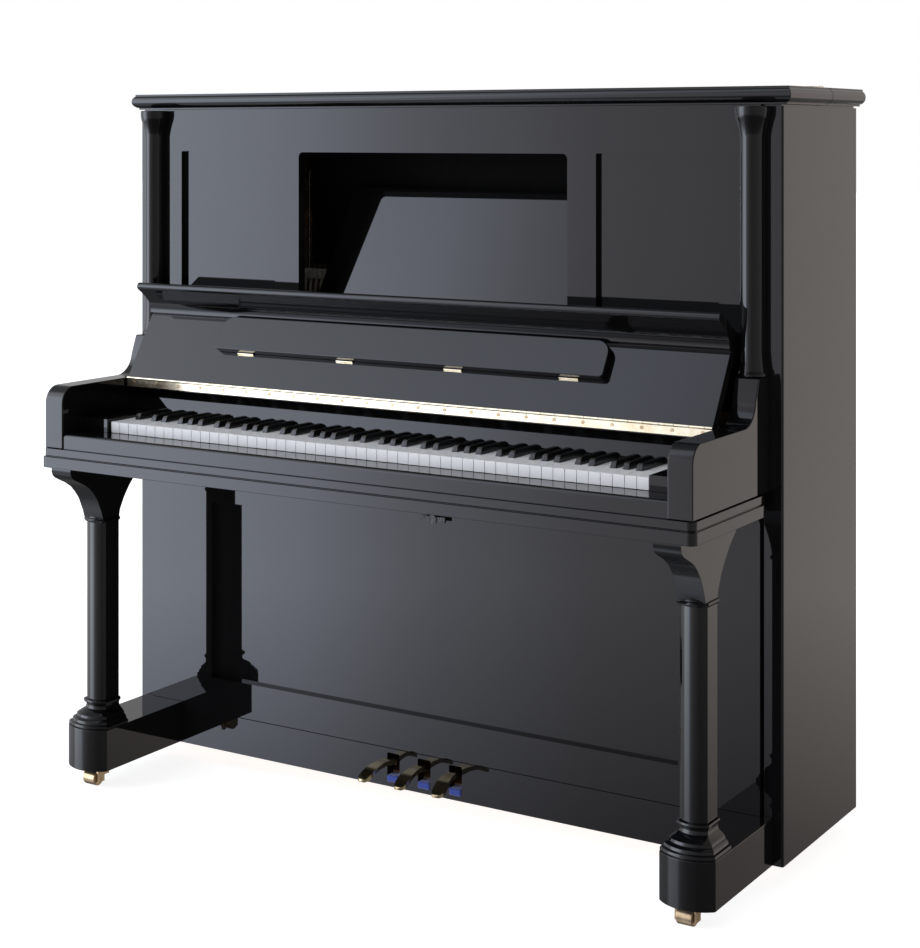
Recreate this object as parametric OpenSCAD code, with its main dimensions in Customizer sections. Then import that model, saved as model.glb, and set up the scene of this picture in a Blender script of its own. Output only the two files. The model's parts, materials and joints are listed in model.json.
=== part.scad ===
// Upright piano, full size, with turned front legs and an open keyboard.
// Units mm. X to the player's right, Y to the back, Z up; origin on the floor, middle of the box.

/* [Case] */
// Width across the two case sides
case_w = 1503; // [1470:1:1530]
// Depth of the case sides, front edge to back
case_d = 369; // [340:1:400]
// Height of the top of the case sides above the floor
case_h = 1399; // [1385:1:1430]
// Thickness of the case sides
side_t = 40; // [34:1:44]
// Gap between the floor and the case
floor_gap = 38; // [36:1:42]
// Distance the key bed stands out in front of the case sides
bed_reach = 331; // [326:1:345]

/* [Lid] */
// Thickness of the lid
lid_t = 33; // [28:1:38]
// How far the rounded lid edge stands out past the case sides
lid_over = 19.5; // [16:0.5:26]
// Depth of the fixed rear strip of the lid
lid_rear_d = 174; // [150:1:190]

/* [Front] */
// Half width of the opening behind the music desk
open_hw = 317; // [310:1:330]
// Half width of the music desk at its pivot
desk_hw = 334; // [322:1:337]
// Height of the music desk from its pivot to its top
desk_h = 302; // [280:1:308]
// Lean of the open music desk from upright, in degrees
desk_lean = 18; // [10:0.5:20]
// Depth of the sunk panels below the frame face
sink = 12; // [8:0.5:14]

/* [Keyboard] */
// Pitch of the white keys
key_pitch = 23.5; // [22.6:0.1:23.6]
// Height of the white key tops
key_top = 760; // [759:0.5:762]
// Length of a white key in front of the black keys
key_head = 50; // [48:0.5:52]
// Travel of the keys at the front
key_dip = 10; // [9:0.1:10.5]
// Lean of the open fallboard from upright, in degrees
fall_lean = 31.5; // [30:0.1:33]

/* [Legs and pedals] */
// Distance of the leg centres in from the outer face of the case sides
leg_in = 71.5; // [68:0.5:75]
// Half width of a leg shaft
leg_hw = 26; // [22:0.5:29]
// Half width of a toe block
toe_hw = 52.6; // [50:0.2:56]
// Spacing of the pedals where they leave the case
pedal_gap = 73.5; // [70:0.5:78]
// Radius of the caster rollers
wheel_r = 15.5; // [14:0.1:16]

/* [Hidden] */
W = case_w / 2;
leg_x = W - leg_in;
WI = W - side_t;
depth = case_d + bed_reach;
Y0 = -depth / 2;
YC = Y0 + bed_reach;
YB = depth / 2;
YF = YC - 8;
GAP = 0.4;
FIT = 0.06;
FN = 48;
FR_T = 22;
LZ = case_h + 3;
LT = LZ + lid_t;
LX = W + lid_over;
LY = YC - 11;
SPLIT = YB - lid_rear_d;
FB = 846;
FT = case_h - 1;
OPEN_Z0 = FB + 80;
OPEN_Z1 = case_h - 88;
PAN_X0 = 378.5;
PAN_X1 = W - 120.5;
DY = YF + 61.5;
DZ = 945;
BED_Z0 = 668;
BED_Z1 = 707;
ARM_XI = W - 72.5;
ARM_XO = W - 25.5;
ARM_Z = 833;
LEDGE_Z = 914;
KEY_F = YC - 254;
KEY_B = KEY_F + 383;
KEY_H = 22;
KEY_P = KEY_F + 230;
KEY_X0 = -26 * key_pitch;
FH_Y = YC - 132;
FH_Z = 833.5;
FALL_X = ARM_XI - 5;
FLAP_X = -9.5;
FLAP_HW = 453;
FLAP_A = 72.7;
LEG_Y = YC - 196;
LEG_R = leg_hw / sin(45);
TOE_R = toe_hw / sin(45);
TOE_Z = 124;
LEG_B = YC - 182;
PED_X = -7;
PED_Y = YC + 110;
PED_Z = 89;
CAS_DY = -18;
CF_Y = YC - 213;
CR_Y = YB - 60;
CR_X = W - 111.5;
CF_XR = leg_x - 8;
HAM_Y = YC + 125;
HAM_Z = 940;
STR_Y = YC + 209;

// The sub-part to draw

// ---------- helpers ----------
module rbox2(x0, y0, x1, y1, r) {
  translate([x0 + r, y0]) square([x1 - x0 - 2 * r, y1 - y0]);
  translate([x0, y0 + r]) square([x1 - x0, y1 - y0 - 2 * r]);
  for (x = [x0 + r, x1 - r], y = [y0 + r, y1 - r]) translate([x, y]) circle(r = r, $fn = 32);
}

module box(a, b) {
  translate(a) cube([b[0] - a[0], b[1] - a[1], b[2] - a[2]]);
}

// a (y, z) outline drawn out along X from x0 to x1
module along_x(x0, x1) {
  translate([x0, 0, 0]) rotate([90, 0, 90]) linear_extrude(x1 - x0) children();
}

// an (x, z) outline drawn out along Y from y0 to y1
module along_y(y0, y1) {
  translate([0, y1, 0]) rotate([90, 0, 0]) linear_extrude(y1 - y0) children();
}

module rod_x(x0, x1, r, y, z) {
  translate([x0, y, z]) rotate([0, 90, 0]) cylinder(r = r, h = x1 - x0, $fn = FN);
}

module rod_y(y0, y1, r, x, z, n = FN) {
  translate([x, y1, z]) rotate([90, 0, 0]) cylinder(r = r, h = y1 - y0, $fn = n);
}

function arc(cx, cz, r, a0, a1, n) =
  [for (i = [0:n]) [cx + r * cos(a0 + (a1 - a0) * i / n), cz + r * sin(a0 + (a1 - a0) * i / n)]];

// a moulded post: round front, flat sides, the (radius, height) outline mitred at the corners
module d_post(P, yb) {
  n = len(P) - 1;
  z0 = P[0][1];
  z1 = P[n][1];
  k = sin(45);
  rotate_extrude(angle = 90, start = 225, $fn = 96)
    polygon(concat([[0, z0]], P, [[0, z1]]));
  intersection() {
    along_y(-120, yb)
      polygon(concat([for (p = P) [k * p[0], p[1]]], [for (i = [n:-1:0]) [-k * P[i][0], P[i][1]]]));
    translate([0, 0, z0]) linear_extrude(z1 - z0)
      polygon([[0, 0], [-110, -110], [-110, yb], [110, yb], [110, -110]]);
  }
}

// ---------- case ----------
module side_plan() {
  rbox2(WI, YC, W, YC + 20, 4);
  translate([WI, YC + 10]) square([side_t, case_d - 10]);
}

module case_side(s) {
  color("#0c0c0e") mirror([s < 0 ? 1 : 0, 0, 0]) {
    translate([0, 0, floor_gap]) linear_extrude(case_h - floor_gap) side_plan();
    box([WI, YC + 5, case_h - 1], [W - 5, SPLIT + 1, LZ - 0.3]);
    box([WI, SPLIT, case_h - 1], [W - 5, YB - 1, LZ - 0.02]);
  }
}
module case_side_left() { case_side(-1); }
module case_side_right() { case_side(1); }

module bottom_board() {
  color("#5a3c22") difference() {
    union() {
      box([-WI, YF + FR_T, floor_gap + 2], [WI, YB - 104, floor_gap + 24]);
      for (s = [-1, 0, 1], e = [-1, 1]) {
        x = PED_X + s * pedal_gap + e * 17;
        box([x - 6, PED_Y - 14, floor_gap + 23], [x + 6, PED_Y + 14, PED_Z + 12]);
      }
    }
    for (s = [-1, 0, 1])
      rod_x(PED_X + s * pedal_gap - 24, PED_X + s * pedal_gap + 24, 4 + FIT, PED_Y, PED_Z);
  }
}

module bottom_rail() {
  color("#0c0c0e") difference() {
    box([-WI + 1, YF, floor_gap - 2], [WI - 1, YF + FR_T, 112.5]);
    for (s = [-1, 0, 1]) {
      x = PED_X + s * pedal_gap;
      along_y(YF - 1, YF + FR_T + 1) rbox2(x - 15, 46, x + 15, 104, 3);
    }
  }
}

// ---------- lid ----------
module lid_edge() {
  translate([12, 0]) square([60, lid_t]);
  translate([6, lid_t - 8]) square([60, 8]);
  translate([14, lid_t / 2 + 1]) circle(r = 14, $fn = FN);
}

// lid body between y0 and y1, moulded at both ends and, if asked, along the front
module lid_slab(y0, y1, front) {
  intersection() {
    box([-LX, y0, LZ], [LX, y1, LT]);
    union() {
      if (front)
        box([-LX + 40, y0 + 40, LZ], [LX - 40, y1, LT]);
      else
        box([-LX + 40, y0, LZ], [LX - 40, y1, LT]);
      if (front) intersection() {
        along_x(-LX, LX) translate([y0, LZ]) lid_edge();
        translate([0, 0, LZ]) linear_extrude(lid_t)
          polygon([[-LX, y0], [LX, y0], [LX - 60, y0 + 60], [-LX + 60, y0 + 60]]);
      }
      for (m = [0, 1]) mirror([m, 0, 0]) intersection() {
        along_y(y0, y1) translate([LX, LZ]) mirror([1, 0]) lid_edge();
        translate([0, 0, LZ]) linear_extrude(lid_t)
          polygon(front ? [[LX, y0], [LX, y1], [LX - 60, y1], [LX - 60, y0 + 60]]
                        : [[LX, y0], [LX, y1], [LX - 60, y1], [LX - 60, y0]]);
      }
    }
  }
}

module hinge_slot() {
  rod_x(-LX, LX, 3 + FIT, SPLIT, LT + 0.5);
}

module lid_front() {
  color("#0c0c0e") difference() {
    lid_slab(LY, SPLIT - 0.75, true);
    hinge_slot();
  }
}

module lid_rear() {
  color("#0c0c0e") difference() {
    lid_slab(SPLIT + 0.75, YB, false);
    hinge_slot();
  }
}

module lid_hinge() {
  color("#b08d3c") {
    rod_x(-LX + 20, LX - 20, 3, SPLIT, LT + 0.5);
    box([-LX + 20, SPLIT + 1.5, LT + 0.05], [LX - 20, SPLIT + 13, LT + 0.9]);
  }
}

// ---------- upper front ----------
module upper_frame() {
  color("#0c0c0e") difference() {
    union() {
      box([-WI + 1, YF, FB], [WI - 1, YF + FR_T, FT]);
      box([-WI + 1, YF + 4, FT - 1], [WI - 1, YF + FR_T, LZ - 0.4]);
      for (s = [-1, 1])
        box([s * 352 - 6, YF + FR_T - 1, DZ - 14], [s * 352 + 6, DY + 12, DZ + 14]);
    }
    along_y(YF - 1, YF + FR_T + 1) {
      rbox2(-open_hw, OPEN_Z0, open_hw, OPEN_Z1, 10);
      for (s = [-1, 1])
        rbox2(s > 0 ? PAN_X0 : -PAN_X1, OPEN_Z0, s > 0 ? PAN_X1 : -PAN_X0, OPEN_Z1 + 1, 3);
    }
    for (s = [-1, 1])
      box([s > 0 ? PAN_X0 - 8 : -PAN_X1 - 8, YF + sink, OPEN_Z0 - 8],
          [s > 0 ? PAN_X1 + 8 : -PAN_X0 + 8, YF + FR_T + 1, OPEN_Z1 + 9]);
    rod_x(-360, 360, 4 + FIT, DY, DZ);
  }
}

module upper_panels() {
  color("#0c0c0e") for (s = [-1, 1])
    box([s > 0 ? PAN_X0 - 8 : -PAN_X1 - 8, YF + sink, OPEN_Z0 - 8],
        [s > 0 ? PAN_X1 + 8 : -PAN_X0 + 8, YF + FR_T, OPEN_Z1 + 9]);
}

// a leaning board, narrower at the top, with rounded upper corners
module music_desk() {
  k = 0.2;
  t = desk_hw - k * desk_h;
  r = 25;
  color("#0c0c0e") translate([0, DY, DZ]) rotate([-desk_lean, 0, 0]) {
    along_y(-9, 9) {
      polygon([[-desk_hw - k * 8, -8], [desk_hw + k * 8, -8], [t + k * r, desk_h - r],
        [-t - k * r, desk_h - r]]);
      translate([-t + r - 0.5, desk_h - r - 1]) square([2 * (t - r) + 1, r + 1]);
      for (m = [0, 1]) mirror([m, 0]) intersection() {
        translate([t - r + k * r * 0.9, desk_h - r]) circle(r = r, $fn = 64);
        translate([t - r - 2, desk_h - r - 2]) square(2 * r);
      }
    }
    rod_x(-357, 357, 4, 0, 0);
  }
}

// pilaster outline, half width against height
function pil_pts() = let (z0 = LEDGE_Z + GAP, r = 21.5) concat(
  [[28, z0], [28, z0 + 6], [25, z0 + 10], [r + 1.5, z0 + 24], [r, z0 + 44]],
  [[r, case_h - 56], [r + 1.5, case_h - 46], [r + 5, case_h - 30], [r + 8.6, case_h - 18],
   [31, case_h - 10], [31, case_h]]);

module pilaster_body() {
  p = pil_pts();
  n = len(p) - 1;
  rotate_extrude(angle = 180, start = 180, $fn = 64)
    polygon(concat([[0, p[0][1]]], p, [[0, p[n][1]]]));
  along_y(0, 16)
    polygon(concat(p, [for (i = [n:-1:0]) [-p[i][0], p[i][1]]]));
}

module pilasters() {
  color("#0c0c0e") for (m = [0, 1]) mirror([m, 0, 0]) difference() {
    translate([W - 53, YC - 16, 0]) pilaster_body();
    box([600, YF - 0.3, 900], [WI - GAP, YC + 20, 1500]);
  }
}

// ---------- fallboard ----------
// local frame of the fallboard: origin on the hinge line, Z along the panel, -Y its inner side
module on_fallboard() {
  translate([0, FH_Y, FH_Z]) rotate([-fall_lean, 0, 0]) children();
}

// panel at the back, then a thick rail with a hollow under-curve and a rounded nose
module fall_outline() {
  polygon(concat(
    [[20, 0], [0, 0], [0, 150], [-7, 151], [-11, 157], [-17, 163.6], [-26, 168.2], [-40, 171.6],
     [-56, 173.4], [-68.5, 174]],
    arc(-68.5, 182, 8, 260, 100, 8),
    [[-68.5, 190], [14, 190], [20, 186]]));
}

module fallboard() {
  color("#0c0c0e") on_fallboard() difference() {
    along_x(-FALL_X, FALL_X) fall_outline();
    rod_x(-FALL_X - 1, FALL_X + 1, 3 + FIT, 0, 0);
  }
}

module fallboard_hinge() {
  color("#c8a96a") {
    rod_x(-FALL_X, FALL_X, 3, FH_Y, FH_Z);
    box([-FALL_X, FH_Y - 0.8, FH_Z - 17.5], [FALL_X, FH_Y + 0.7, FH_Z - 1.5]);
    for (x = [-FALL_X + 18.6:59.6:FALL_X - 14]) rod_y(FH_Y - 1.5, FH_Y - 0.7, 3, x, FH_Z - 9, 24);
  }
}

// hinge rail, and the board that leans back from the keys up to it
module nameboard() {
  color("#0c0c0e") difference() {
    along_x(-ARM_XI + GAP, ARM_XI - GAP) translate([FH_Y, FH_Z]) polygon([[0.8, -3.4],
      [0.8, -20.5], [43.4, -20.5], [24, -68.5], [34, -68.5], [54, -20.5], [54, -13], [5, -13],
      [5, -3.4]]);
    rod_x(-ARM_XI, ARM_XI, 3.4, FH_Y, FH_Z);
  }
}

// lower edge square, upper corners well rounded
module music_flap() {
  z0 = FLAP_A + 2;
  z1 = 148.3;
  color("#0c0c0e") on_fallboard() translate([FLAP_X, -0.6, 0]) along_y(-16, 0) {
    rbox2(-FLAP_HW, z0, FLAP_HW, z0 + 36, 8);
    translate([-FLAP_HW, z0 + 18]) square([2 * FLAP_HW, z1 - 28 - z0 - 18]);
    translate([-FLAP_HW + 28, z0 + 18]) square([2 * FLAP_HW - 56, z1 - z0 - 18]);
    for (m = [0, 1]) mirror([m, 0]) intersection() {
      translate([FLAP_HW - 28, z1 - 28]) circle(r = 28, $fn = 96);
      translate([FLAP_HW - 29, z1 - 29]) square(30);
    }
  }
}

module flap_hinges() {
  color("#b08d3c") on_fallboard() for (x = [-387, -139, 115, 368]) {
    rod_x(x - 20, x + 20, 1.8, -1.9, FLAP_A);
    box([x - 20, -0.8, FLAP_A - 4], [x + 20, 0, FLAP_A - 0.8]);
  }
}

// ---------- arms, key bed ----------
module arm_outline() {
  YA = Y0 + 7;
  polygon(concat(
    [[YA, BED_Z1 + GAP], [YA, ARM_Z - 36]],
    arc(YA + 34, ARM_Z - 34, 34, 180, 92, 12),
    [[YC - 110, ARM_Z]],
    arc(YC - 110, ARM_Z + 48, 48, 270, 352, 12),
    [[YC - 48, LEDGE_Z], [YC - 0.01, LEDGE_Z], [YC - 0.01, BED_Z1 + GAP]]));
}

module arm(s) {
  color("#0c0c0e") mirror([s < 0 ? 1 : 0, 0, 0]) difference() {
    along_x(ARM_XI, ARM_XO) arm_outline();
    box([ARM_XI - 1, YF - 0.3, BED_Z1 - 1], [WI - GAP, YC + 1, LEDGE_Z + 1]);
  }
}
module arm_left() { arm(-1); }
module arm_right() { arm(1); }

module key_blocks() {
  color("#0c0c0e") for (m = [0, 1]) mirror([m, 0, 0])
    box([3 - KEY_X0, KEY_F - 7, BED_Z1 + GAP], [ARM_XI - GAP, FH_Y + 24, 766]);
}

module key_slip() {
  color("#0c0c0e") along_x(-ARM_XI + GAP, ARM_XI - GAP) {
    translate([Y0 + 10, BED_Z1 + GAP]) square([KEY_F - 9 - Y0 - 10, 24]);
    translate([Y0 + 18, BED_Z1 + GAP]) square([KEY_F - 9 - Y0 - 18, 31]);
    translate([Y0 + 18, BED_Z1 + GAP + 23]) circle(r = 8, $fn = FN);
  }
}

module key_bed() {
  color("#0c0c0e") {
    box([29.5 - W, Y0 + 12, BED_Z0 + 1], [W - 29.5, YC - 30, BED_Z1]);
    box([-WI + 1, YC - 31, BED_Z0 + 1], [WI - 1, YC + 150, BED_Z1]);
    for (b = [[BED_Z0, 22, 0], [BED_Z0 + 24, 15, 3.5]])
      translate([0, 0, b[0]]) linear_extrude(b[1])
        rbox2(19.5 - W + b[2] * 0.6, Y0 + b[2], W - 19.5 - b[2] * 0.6, YC - 24, 14);
    translate([0, 0, BED_Z0 + 21]) linear_extrude(4)
      rbox2(23.5 - W, Y0 + 5, W - 23.5, YC - 26, 10);
  }
}

module key_frame() {
  color("#c9a878") {
    box([-610, KEY_F + 12, BED_Z1], [610, KEY_F + 52, BED_Z1 + 8]);
    box([-610, KEY_P - 20, BED_Z1], [610, KEY_P + 20, key_top - KEY_H - 3]);
    box([-610, KEY_P - 4, BED_Z1], [610, KEY_P + 4, key_top - KEY_H - 0.3]);
    rod_x(-610, 610, 3, KEY_P, key_top - KEY_H);
    box([-610, KEY_B - 44, BED_Z1], [610, KEY_B - 8, key_top - KEY_H - 0.3]);
    for (x = [-560, -280, 0, 280, 560])
      box([x - 20, KEY_F + 51, BED_Z1], [x + 20, KEY_B - 43, BED_Z1 + 7]);
  }
}

// ---------- keys ----------
NOTE_CUT_R = [1, 1, 0, 1, 1, 1, 0];
NOTE_CUT_L = [0, 1, 1, 0, 1, 1, 1];
BLK_OFF = [-2, 2, 0, -2.4, 0, 2.4, 0];
BLK_W = 12.6;
function note(i) = (i + 5) % 7;
function cut_r(i) = (i < 51 && NOTE_CUT_R[note(i)] == 1) ? BLK_W / 2 + 1.1 - BLK_OFF[note(i)] : 0.5;
function cut_l(i) = (i > 0 && NOTE_CUT_L[note(i)] == 1)
  ? BLK_W / 2 + 1.1 + BLK_OFF[note(i - 1)] : 0.5;

// round notch under a key, over the fulcrum rod
module fulcrum() {
  rod_x(-30, 30, 3 + FIT, KEY_P, key_top - KEY_H);
}

module white_key(i) {
  x = KEY_X0 + i * key_pitch;
  translate([x, 0, 0]) difference() {
    translate([0, 0, key_top - KEY_H]) linear_extrude(KEY_H) {
      translate([0.5, KEY_F]) square([key_pitch - 1, key_head]);
      translate([cut_l(i), KEY_F + key_head - 1])
        square([key_pitch - cut_l(i) - cut_r(i), KEY_B - KEY_F - key_head + 1]);
    }
    fulcrum();
  }
}

module black_key(i) {
  x = KEY_X0 + (i + 1) * key_pitch + BLK_OFF[note(i)];
  y0 = KEY_F + key_head + 1;
  z0 = key_top - KEY_H;
  translate([x, 0, 0]) difference() {
    intersection() {
      along_x(-BLK_W / 2, BLK_W / 2) polygon([[y0, z0], [y0, key_top], [y0 + 5, key_top + 10],
        [y0 + 9, key_top + 12], [y0 + 94, key_top + 12], [y0 + 94, key_top - 4],
        [KEY_B, key_top - 4], [KEY_B, z0]]);
      along_y(y0 - 1, KEY_B + 1) polygon([[-BLK_W / 2, z0], [BLK_W / 2, z0], [BLK_W / 2, key_top],
        [BLK_W / 2 - 1.6, key_top + 12], [-BLK_W / 2 + 1.6, key_top + 12], [-BLK_W / 2, key_top]]);
    }
    fulcrum();
  }
}

module whites(a, b) { color("#f2efe6") for (i = [a:b]) white_key(i); }
module blacks(a, b) {
  color("#141414") for (i = [a:b]) if (i < 51 && NOTE_CUT_R[note(i)] == 1) black_key(i);
}
module white_keys_bass() { whites(0, 22); }
module white_keys_treble() { whites(26, 51); }
module black_keys_bass() { blacks(0, 22); }
module black_keys_treble() { blacks(25, 50); }
module key_c() { whites(23, 23); }
module key_c_sharp() { blacks(23, 23); }
module key_d() { whites(24, 24); }
module key_d_sharp() { blacks(24, 24); }
module key_e() { whites(25, 25); }

// ---------- legs and toe blocks ----------
function leg_pts() = let (r = LEG_R, t = TOE_R, z = TOE_Z + GAP) concat(
  [[t - 1.5, z], [t - 0.5, z + 3], [t - 2.5, z + 7], [t - 8, z + 8]],
  [[t - 9, z + 13], [t - 13, z + 16], [t - 16, z + 17], [t - 17.5, z + 22]],
  [[t - 22, z + 25], [r + 3, z + 32], [r + 1, z + 38], [r + 3, z + 43]],
  [[r + 6, z + 44], [r + 7.5, z + 47], [r + 6, z + 50], [r, z + 52]],
  [[r, 543], [r + 4, 544], [r + 6.5, 547], [r + 4, 551], [r, 552], [r, 560]]);

module leg_bracket() {
  along_x(-leg_hw, leg_hw) polygon([[-33, 548], [-39.5, 568], [-52, 595], [-64, 610], [-76, 622],
    [-92, 632], [-111, 641], [-121, 646], [-128, 652], [-131, 660], [-131, BED_Z0 - GAP],
    [100, BED_Z0 - GAP], [98, 658], [92, 652], [68, 633], [47, 611], [30, 588], [18, 565],
    [14, 548]]);
}

module leg(s) {
  color("#0c0c0e") translate([s * leg_x, LEG_Y, 0]) {
    d_post(leg_pts(), LEG_B - LEG_Y);
    leg_bracket();
  }
}
module leg_left() { leg(-1); }
module leg_right() { leg(1); }

module toe(s) {
  color("#0c0c0e") mirror([s < 0 ? 1 : 0, 0, 0]) translate([leg_x, 0, 0]) difference() {
    translate([0, 0, floor_gap + 1]) linear_extrude(TOE_Z - floor_gap - 1) {
      translate([-toe_hw, LEG_Y - toe_hw]) square([2 * toe_hw, YC - 0.01 - LEG_Y + toe_hw]);
      intersection() {
        translate([0, LEG_Y]) circle(r = TOE_R, $fn = 96);
        translate([-toe_hw, LEG_Y - 90]) square([2 * toe_hw, 90]);
      }
    }
    box([-200, YF - 0.3, 0], [WI - leg_x, YC + 2, 200]);
    translate([s > 0 ? CF_XR - leg_x : 0, CF_Y, floor_gap]) cylinder(r = 5 + FIT, h = 34, $fn = FN);
  }
}
module toe_left() { toe(-1); }
module toe_right() { toe(1); }

// ---------- casters ----------
// origin on the swivel axis at floor level; top = height of the mounting face
module fork(top) {
  color("#a8843a") difference() {
    union() {
      cylinder(r = 5, h = top + 28, $fn = FN);
      translate([0, 0, top - 4]) cylinder(r = 17, h = 3.6, $fn = FN);
      box([-20, -7, 20], [20, 8, top - 3.8]);
      for (x = [-20, 16]) along_x(x, x + 4) {
        translate([CAS_DY - 8, 7.5]) square([20, top - 4 - 7.5]);
        translate([CAS_DY, wheel_r]) circle(r = 8, $fn = FN);
      }
    }
    box([-16, CAS_DY - wheel_r - 1, -1], [16, CAS_DY + wheel_r + 1, 2 * wheel_r + 1.2]);
    box([-30, -60, -5], [30, 40, 2]);
    rod_x(-21, 21, 3 + FIT, CAS_DY, wheel_r);
  }
}

module wheel() {
  color("#c19a4b") translate([0, CAS_DY, wheel_r]) {
    rod_x(-15.2, 15.2, wheel_r, 0, 0);
    rod_x(-20, 20, 3, 0, 0);
  }
}

module at_caster(sx, sy) {
  translate([sy > 0 ? sx * CR_X : sx > 0 ? CF_XR : -leg_x, sy < 0 ? CF_Y : CR_Y, 0]) children();
}
module caster_fork_fl() { at_caster(-1, -1) fork(floor_gap + 1); }
module caster_fork_fr() { at_caster(1, -1) fork(floor_gap + 1); }
module caster_fork_rl() { at_caster(-1, 1) fork(floor_gap + 2); }
module caster_fork_rr() { at_caster(1, 1) fork(floor_gap + 2); }
module caster_wheel_fl() { at_caster(-1, -1) wheel(); }
module caster_wheel_fr() { at_caster(1, -1) wheel(); }
module caster_wheel_rl() { at_caster(-1, 1) wheel(); }
module caster_wheel_rr() { at_caster(1, 1) wheel(); }

// ---------- lower front ----------
LP_X = W - 202.5;
LP_Z0 = 188;
LP_Z1 = 564;
module lower_frame() {
  color("#0c0c0e") difference() {
    box([-WI + 1, YF, 114], [WI - 1, YF + FR_T, BED_Z0 - 4]);
    box([-LP_X, YF - 1, LP_Z0], [LP_X, YF + FR_T + 1, LP_Z1]);
    box([-LP_X - 8, YF + sink, LP_Z0 - 8], [LP_X + 8, YF + FR_T + 1, LP_Z1 + 8]);
    rod_y(YF - 1, YF + FR_T + 1, 5 + FIT, 22, 588);
  }
}

module lower_panel() {
  color("#0c0c0e") box([-LP_X - 8, YF + sink, LP_Z0 - 8], [LP_X + 8, YF + FR_T, LP_Z1 + 8]);
}

module panel_catch() {
  color("#1a1a1a") {
    rod_y(YF - 8, YF + FR_T + 8, 5, 22, 588);
    rod_y(YF - 16, YF - 0.4, 9, 22, 588);
    box([-6, YF - 14, 583], [50, YF - 8, 593]);
    box([16, YF + FR_T + 2, 574], [28, YF + FR_T + 8, 592]);
  }
}

// ---------- pedals ----------
module pedal(s) {
  x = PED_X + s * pedal_gap;
  color("#b8923f") {
    translate([x, 0, 0]) {
      box([-8, YF - 2, PED_Z - 5], [8, PED_Y + 30, PED_Z + 5]);
      rod_x(-21, 21, 4, PED_Y, PED_Z);
      translate([0, YF + 3, 0]) rotate([0, 0, s * 8.2]) intersection() {
        along_x(-20, 20) polygon(concat(
          [[6, PED_Z + 5], [-20, PED_Z + 8], [-44, PED_Z + 7.5], [-66, PED_Z + 3],
           [-84, PED_Z - 5], [-96, PED_Z - 12]],
          arc(-97, PED_Z - 15, 3.2, 90, 250, 5),
          [[-86, PED_Z - 15.5], [-70, PED_Z - 7.5], [-54, PED_Z - 2.5], [-34, PED_Z - 1.5],
           [-14, PED_Z - 3.5], [6, PED_Z - 5]]));
        translate([0, 0, 40]) linear_extrude(80) {
          polygon([[-8, 8], [8, 8], [9, -20], [11, -50], [13, -74], [12.6, -88], [-12.6, -88],
            [-13, -74], [-11, -50], [-9, -20]]);
          translate([0, -87.5]) circle(r = 12.6, $fn = FN);
        }
      }
    }
  }
}
module pedal_left() { pedal(-1); }
module pedal_middle() { pedal(0); }
module pedal_right() { pedal(1); }

module pedal_felts() {
  color("#2a3f8f") for (s = [-1, 0, 1]) {
    x = PED_X + s * pedal_gap;
    box([x - 13, YF - 4, 46.5], [x + 13, YF + FR_T, 60]);
  }
}

// ---------- inside ----------
module iron_plate() {
  color("#8c6b2c") {
    along_y(STR_Y + 12, STR_Y + 26) difference() {
      rbox2(-WI + 8, 150, WI - 8, case_h - 40, 30);
      difference() {
        rbox2(-WI + 60, 240, WI - 60, case_h - 219, 40);
        for (x = [-380, -90, 210, 470]) translate([x - 14, 200]) square([28, case_h - 399]);
      }
    }
    for (s = [-1, 1], z = [180, 700, case_h - 219]) rod_y(STR_Y + 25, STR_Y + 40, 12, s * (WI - 30), z);
  }
}

function string_x(i) = -600 + i * 1200 / 87;
module strings() {
  color("#c9c5bd") for (i = [0:87])
    translate([string_x(i), STR_Y, 215 + (i > 40 ? (i - 40) * 8 : 0)])
      cylinder(r = i < 27 ? 1.4 : 0.6, $fn = 16,
        h = case_h - 163 + (i % 3) * 16 - 215 - (i > 40 ? (i - 40) * 8 : 0));
}

module tuning_pins() {
  color("#b9bec4") for (i = [0:87])
    rod_y(STR_Y - 14, STR_Y + 12, 3.4, string_x(i) + 4.2, case_h - 159 + (i % 3) * 16, 16);
}

module soundboard() {
  color("#c79a5c") {
    box([-WI + 2, STR_Y + 40, 120], [WI - 2, STR_Y + 48, case_h - 199]);
    for (b = [[-560, -400], [-360, -110], [-70, 190], [230, 450], [490, 560]])
      box([b[0], STR_Y + 2.2, 300], [b[1], STR_Y + 41, 326]);
  }
}

// posts, beams, pin block and the blocks the rear casters plug into
module back_frame() {
  color("#b88d55") difference() {
    union() {
      box([-WI, STR_Y + 48, case_h - 130], [WI, YB - 4, LZ - 0.05]);
      box([-WI + 12, STR_Y + 26, case_h - 187], [WI - 12, STR_Y + 49, case_h - 48]);
      box([-WI, STR_Y + 48, floor_gap + 24], [WI, YB - 4, 150]);
      for (x = [-660, -400, -135, 135, 400, 660])
        box([x - 40, STR_Y + 52, 149], [x + 40, YB - 4, case_h - 129]);
      for (s = [-1, 1]) box([s * CR_X - 45, CR_Y - 40, floor_gap + 2],
        [s * CR_X + 45, CR_Y + 45, floor_gap + 32]);
    }
    for (s = [-1, 1])
      translate([s * CR_X, CR_Y, floor_gap]) cylinder(r = 5 + FIT, h = 34, $fn = FN);
  }
}

// dark board inside, between the music desk and the tuning pins
module inner_board() {
  color("#0c0c0e") {
    box([-WI, YC + 179, case_h - 79], [WI, YC + 187, case_h - 1]);
    box([-420, YC + 179, case_h - 333], [WI, YC + 187, case_h - 78]);
  }
}

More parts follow.
